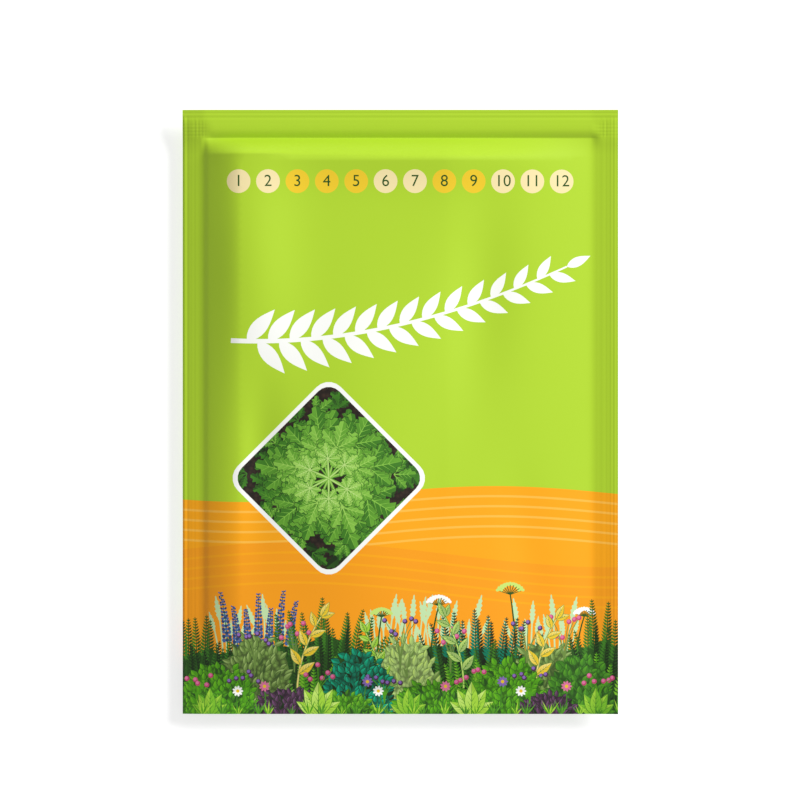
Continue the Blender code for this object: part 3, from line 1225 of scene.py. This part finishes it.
def visible_borders(shapes):
    """The print's outlines where they show, and the packet's edge: a first map is cut along all of them,
    and only its edges between unlike inks are kept."""
    points, lines = [], []
    chain(points, lines, [(LEFT, BOTTOM), (RIGHT, BOTTOM), (RIGHT, TOP), (LEFT, TOP)], closed=True)
    for shape in shapes:
        chain(points, lines, shape.outline, closed=True)
    places, triangles, _ = cut_map(points, lines)
    looks = {}
    kinds = [looks.setdefault((s.ink, s.fade, s.foliage), len(looks)) for s in shapes] + [-1]
    look = np.repeat(np.array(kinds)[top_shapes(shapes, places, triangles)], 3)
    edges = np.sort(np.column_stack([triangles.ravel(), np.roll(triangles, -1, axis=1).ravel()]), axis=1)
    keys, mine, sides = np.unique(edges @ (len(places), 1), return_inverse=True, return_counts=True)
    least, most = np.full(len(keys), len(looks)), np.full(len(keys), -1)
    np.minimum.at(least, mine, look)
    np.maximum.at(most, mine, look)
    shown = keys[(least != most) | (sides == 1)]
    used, ends = np.unique(np.column_stack(np.divmod(shown, len(places))), return_inverse=True)
    points, lines = straightened(places[used].tolist(), ends.reshape(-1, 2).tolist())
    print(f"{len(keys)} edges in the first map, {len(shown)} of them show, {len(lines)} once straightened")
    return divided(points, lines)


def outer_map(shapes):
    """The map of a film's outer face: all the borders of the print that show, and the form's lines."""
    points, lines = visible_borders(shapes)
    form_lines(points, lines, 1, 0)
    return cut_map(points, lines)[:2]


def inner_map(rim):
    """A coarser map for the inner face, whose edge has the outer face's points."""
    points, lines = [], []
    chain(points, lines, rim, closed=True)
    form_lines(points, lines, INNER_COARSE, CLEAR_OF_EDGE)
    places, triangles, moved = cut_map(points, lines, follow=True)
    return places, triangles, [moved[k] for k in range(len(rim))]


# %% Ink the faces
def inked_corners(shapes, places, triangles, ground):
    """The ink at each triangle's corners, and the amounts of the two kinds of foliage."""
    corners = places[triangles]
    colours = np.tile(linear(INKS[ground]), (*corners.shape[:2], 1))
    foliage = np.tile((0.0, 0.0, 0.0, 1.0), (*corners.shape[:2], 1))
    on_top = top_shapes(shapes, places, triangles)
    order = np.argsort(on_top, kind="stable")
    numbers, firsts = np.unique(on_top[order], return_index=True)
    for number, mine in zip(numbers.tolist(), np.split(order, firsts[1:])):
        if number < 0:
            continue
        shape = shapes[number]
        colours[mine] = linear(INKS[shape.ink])
        if shape.fade:
            other, start, end = shape.fade
            along = np.subtract(end, start)
            share = np.clip((corners[mine] - start) @ along / (along @ along), 0, 1)[..., None]
            colours[mine] += share * (np.array(linear(INKS[other])) - linear(INKS[shape.ink]))
        if shape.foliage:
            foliage[mine, :, shape.foliage - 1] = 1.0
    return colours, foliage


# %% Normals
SLOPE_STEP = 0.01


def form_normals(form, places, facing):
    """The film's normals over places in its map, worked out from the slopes of its form."""
    x, y = places.T
    along_x = (form(x + SLOPE_STEP, y) - form(x - SLOPE_STEP, y)) / (2 * SLOPE_STEP)
    along_y = (form(x, y + SLOPE_STEP) - form(x, y - SLOPE_STEP)) / (2 * SLOPE_STEP)
    normals = np.column_stack([-along_x, -along_y, np.ones(len(x))]) * facing
    return normals / np.linalg.norm(normals, axis=1)[:, None]


# %% Make a film from its maps
def film_piece(name, shapes, outer, inner, facing, ground, material):
    """One film: the outer map lifted to its form, the inner one a film's thickness behind it, and a rim
    that joins them. `facing` is 1 for the film that faces up and -1 for the one that faces down."""
    places, triangles = outer_map(shapes)
    rim = rim_loop(triangles)
    behind, backing, behind_rim = inner_map([tuple(places[k]) for k in rim])
    levels = np.concatenate([outer(*places.T), inner(*behind.T)])
    corners = np.column_stack([np.concatenate([places, behind]), levels]) * MM
    front_edge = np.array(rim)
    back_edge = np.array(behind_rim) + len(places)
    edge = np.column_stack([back_edge, np.roll(back_edge, -1), np.roll(front_edge, -1), front_edge])
    faces = triangles[:, ::facing].tolist() + (backing + len(places))[:, ::-facing].tolist()
    faces += edge[:, ::facing].tolist()
    mesh = bpy.data.meshes.new(name)
    mesh.from_pydata(corners.tolist(), [], faces)
    piece = bpy.data.objects.new(name, mesh)
    bpy.context.collection.objects.link(piece)
    colours, foliage = inked_corners(shapes, places, triangles, ground)
    bare = linear(INKS["film_white"])
    for layer, values, plain in (("ink", colours, bare), ("foliage", foliage, (0, 0, 0, 1))):
        data = np.tile(plain, (len(mesh.loops), 1))
        data[: 3 * len(triangles)] = values[:, ::facing].reshape(-1, 4)
        attribute = mesh.color_attributes.new(layer, "FLOAT_COLOR", "CORNER")
        attribute.data.foreach_set("color", data.ravel())
    mesh.materials.append(material)
    mesh.shade_smooth()
    bends = np.concatenate([form_normals(outer, places, facing), form_normals(inner, behind, -facing)])
    flat = np.empty(3 * len(faces))
    mesh.polygon_normals.foreach_get("vector", flat)
    rim_normals = np.repeat(flat.reshape(-1, 3)[-len(edge) :], 4, axis=0)
    on_face = np.concatenate([np.ravel(face) for face in faces[: -len(edge)]])
    mesh.normals_split_custom_set(np.concatenate([bends[on_face], rim_normals]).tolist())
    print(f"{name}: {len(triangles)} outer, {len(backing)} inner and {len(edge)} rim faces")
    return piece


# %% [markdown]
# ## Materials of the film
#
# The real film is a laminate: a clear polypropylene outer web, printed on its inner side by gravure and
# stuck to a white sealing web. The clear web gives a satin gloss over the inks, a little uneven where the
# laminate stretches over the pocket. IOR 1.5 is that of polypropylene.
#
# The inks come from the mesh. Where the print calls for foliage, two patterns darken and lighten them:
# small round leaves, as cells about 0.9 mm wide that darken to their edges, and blades, as cells half as
# wide and four times as tall.

# %% Reverse-printed laminate
LEAF_CELL = 0.9
BLADE_CELL = 0.45
FILM_ROUGHNESS = 0.48


def foliage_pattern(tree, place, kind, cell, stretch):
    """How much a pattern of small round leaves lightens or darkens the ink, 1 where it isn't called for."""
    spread = add_node(tree, "ShaderNodeMapping", Vector=place)
    spread.inputs["Scale"].default_value = (1 / MM, stretch / MM, 0)
    flat = {"voronoi_dimensions": "2D"}
    cells = add_node(tree, "ShaderNodeTexVoronoi", flat, Vector=spread.outputs["Vector"], Scale=1 / cell)
    pick = add_node(tree, "ShaderNodeSeparateColor", Color=cells.outputs["Color"])
    light = add_node(tree, "ShaderNodeMapRange", Value=pick.outputs["Red"], To_Min=0.75, To_Max=1.3)
    shade = add_node(
        tree,
        "ShaderNodeMapRange",
        Value=cells.outputs["Distance"],
        From_Min=0.1,
        From_Max=0.62,
        To_Min=1.2,
        To_Max=0.45,
    )
    both = add_node(tree, "ShaderNodeMath", {"operation": "MULTIPLY"})
    tree.links.new(light.outputs["Result"], both.inputs[0])
    tree.links.new(shade.outputs["Result"], both.inputs[1])
    return add_node(tree, "ShaderNodeMix", Factor=kind, A=1.0, B=both.outputs["Value"]).outputs["Result"]


def printed_laminate(name, roughness):
    made, tree, shader = new_material(name)
    place = add_node(tree, "ShaderNodeTexCoord").outputs["Object"]
    ink = add_node(tree, "ShaderNodeAttribute", {"attribute_name": "ink"})
    called = add_node(tree, "ShaderNodeAttribute", {"attribute_name": "foliage"})
    kinds = add_node(tree, "ShaderNodeSeparateColor", Color=called.outputs["Color"])
    leaves = foliage_pattern(tree, place, kinds.outputs["Red"], LEAF_CELL, 1.0)
    blades = foliage_pattern(tree, place, kinds.outputs["Green"], BLADE_CELL, 0.25)
    for pattern in (leaves, blades):
        toned = add_node(tree, "ShaderNodeVectorMath", {"operation": "SCALE"})
        tree.links.new(ink.outputs[0], toned.inputs[0])
        tree.links.new(pattern, toned.inputs["Scale"])
        ink = toned
    cloud = add_node(tree, "ShaderNodeTexNoise", Vector=place, Scale=1 / (6 * MM))
    gloss = add_node(tree, "ShaderNodeMapRange", Value=cloud.outputs["Fac"])
    gloss.inputs["To Min"].default_value = roughness - 0.05
    gloss.inputs["To Max"].default_value = roughness + 0.05
    grain = add_node(tree, "ShaderNodeTexNoise", Vector=place, Scale=1 / (0.5 * MM))
    ripple = add_node(tree, "ShaderNodeBump", Height=grain.outputs["Fac"], Strength=0.06, Distance=0.05 * MM)
    tree.links.new(ink.outputs[0], shader.inputs["Base Color"])
    tree.links.new(gloss.outputs["Result"], shader.inputs["Roughness"])
    tree.links.new(ripple.outputs["Normal"], shader.inputs["Normal"])
    shader.inputs["IOR"].default_value = 1.5
    shader.inputs["Specular IOR Level"].default_value = 0.3
    shader.inputs["Coat Weight"].default_value = 0.08
    shader.inputs["Coat Roughness"].default_value = 0.3
    return made


front_laminate = printed_laminate("front_reverse_printed_polypropylene_laminate", FILM_ROUGHNESS)
back_laminate = printed_laminate("back_reverse_printed_polypropylene_laminate", FILM_ROUGHNESS)

# %% [markdown]
# ## The two films
#
# Each film is one closed mesh with its print in it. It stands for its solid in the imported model.

# %% Front film
front = film_piece("packet_front", front_print, front_outer, front_inner, 1, "lime", front_laminate)
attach(front, "root")
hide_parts("front_film")

# %% Back film
back = film_piece("packet_back", back_print, back_outer, back_inner, -1, "pale_lime", back_laminate)
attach(back, "root")
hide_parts("back_film")

# %% [markdown]
# ## The seeds
#
# Parsley seed is a dry, grey-brown grain, 2.4 mm long and pointed at one end, with five pale ribs along
# it. One grain is modelled from a sphere of ten meridians, every other one drawn in, which leaves the
# five ribs. It is then copied some two hundred times, layer on layer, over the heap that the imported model
# holds inside the packet.

# %% One grain
GRAIN_LENGTH = 2.4
GRAIN_WIDTH = 1.3
GRAIN_THICKNESS = 1.05
GROOVE_DEPTH = 0.2
MERIDIANS = 10
TAPER = 0.35
BEAK = 0.22
POLE = 0.499

bpy.ops.object.select_all(action="DESELECT")
bpy.ops.mesh.primitive_uv_sphere_add(segments=MERIDIANS, ring_count=6, radius=0.5 * MM)
grain = bpy.context.object
ribbed = grain.data.attributes.new("rib", "FLOAT", "POINT")
grain.data.attributes.new("tone", "FLOAT", "POINT")
for vertex in grain.data.vertices:
    x, y, z = vertex.co / MM
    meridian = round(math.atan2(y, x) / (2 * math.pi) * MERIDIANS)
    on_rib = meridian % 2 == 0
    at_pole = abs(z) > POLE
    draw = 1.0 if on_rib or at_pole else 1 - GROOVE_DEPTH
    taper = 1 - TAPER * z
    ribbed.data[vertex.index].value = 1.0 if on_rib else 0.0
    vertex.co = (
        z * GRAIN_LENGTH * MM + (BEAK * MM if z > POLE else 0),
        x * GRAIN_WIDTH * draw * taper * MM,
        y * GRAIN_THICKNESS * draw * taper * MM,
    )
print(f"grain: {len(grain.data.polygons)} faces")

# %% The heap
GRAIN_PITCH = 2.15
ROW_PITCH = 1.65
LAYER_RISE = 0.82
RIM_KEPT = 0.9
GRAIN_STRAY = 0.3
GRAIN_TILT = 10

heap_low, heap_high = [np.array(corner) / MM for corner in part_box("seeds")]
heap_middle = (heap_low + heap_high) / 2
heap_radii = (heap_high - heap_low)[:2] / 2


def heap_places(rng):
    """Where the grains lie, layer by layer. Each layer is smaller than the one below."""
    layers = int((heap_high[2] - heap_low[2] - GRAIN_THICKNESS) / LAYER_RISE) + 1
    for layer in range(layers):
        reach = RIM_KEPT * math.sqrt(1 - layer / (layers + 0.6))
        level = heap_low[2] + GRAIN_THICKNESS / 2 + layer * LAYER_RISE
        rows, columns = int(heap_radii[1] / ROW_PITCH) + 1, int(heap_radii[0] / GRAIN_PITCH) + 1
        for row in range(-rows, rows + 1):
            for column in range(-columns, columns + 1):
                x = (column + 0.5 * ((row + layer) % 2)) * GRAIN_PITCH
                y = (row + 0.4 * (layer % 2)) * ROW_PITCH
                x += rng.uniform(-GRAIN_STRAY, GRAIN_STRAY)
                y += rng.uniform(-GRAIN_STRAY, GRAIN_STRAY)
                if math.hypot(x / heap_radii[0], y / heap_radii[1]) < reach:
                    yield heap_middle[0] + x, heap_middle[1] + y, level


def strewn(grain, rng):
    """A copy of the grain for each place, all joined into one piece."""
    copies = []
    for place in heap_places(rng):
        mesh = grain.data.copy()
        turn = Matrix.Rotation(rng.uniform(0, 2 * math.pi), 4, "Z")
        tilt = Matrix.Rotation(math.radians(rng.uniform(-GRAIN_TILT, GRAIN_TILT)), 4, "Y")
        roll = Matrix.Rotation(rng.uniform(0, 2 * math.pi), 4, "X")
        mesh.transform(Matrix.Translation(Vector(place) * MM) @ turn @ tilt @ roll)
        tone = rng.random()
        mesh.attributes["tone"].data.foreach_set("value", [tone] * len(mesh.vertices))
        copies.append(bpy.data.objects.new("loose_grain", mesh))
        bpy.context.collection.objects.link(copies[-1])
    bpy.ops.object.select_all(action="DESELECT")
    for copy in copies:
        copy.select_set(True)
    bpy.context.view_layer.objects.active = copies[0]
    bpy.ops.object.join()
    return bpy.context.object


seed_charge = strewn(grain, random.Random(7))
seed_charge.name = "seed_charge"
bpy.data.objects.remove(grain)

# %% Dry parsley seed
husk, tree, shader = new_material("dry_parsley_seed_husk")
place = add_node(tree, "ShaderNodeTexCoord")
rib_share = add_node(tree, "ShaderNodeAttribute", {"attribute_name": "rib"})
tone_share = add_node(tree, "ShaderNodeAttribute", {"attribute_name": "tone"})
ribs_tint = add_node(tree, "ShaderNodeMix", {"data_type": "RGBA"})
ribs_tint.inputs["A"].default_value = linear("54432B")
ribs_tint.inputs["B"].default_value = linear("A08C62")
tree.links.new(rib_share.outputs["Fac"], ribs_tint.inputs["Factor"])
tone = add_node(tree, "ShaderNodeMapRange", Value=tone_share.outputs["Fac"], To_Min=0.75, To_Max=1.2)
toned = add_node(tree, "ShaderNodeVectorMath", {"operation": "SCALE"})
tree.links.new(ribs_tint.outputs["Result"], toned.inputs[0])
tree.links.new(tone.outputs["Result"], toned.inputs["Scale"])
tree.links.new(toned.outputs["Vector"], shader.inputs["Base Color"])
shader.inputs["Roughness"].default_value = 0.75
rough_skin = add_node(tree, "ShaderNodeTexNoise", Vector=place.outputs["Object"], Scale=1 / (0.3 * MM))
wrinkles = add_node(
    tree, "ShaderNodeBump", Height=rough_skin.outputs["Fac"], Strength=0.4, Distance=0.05 * MM
)
tree.links.new(wrinkles.outputs["Normal"], shader.inputs["Normal"])
seed_charge.data.materials.append(husk)
seed_charge.data.shade_smooth()
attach(seed_charge, "root")
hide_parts("seeds")
print(f"seeds: {len(seed_charge.data.polygons)} faces")
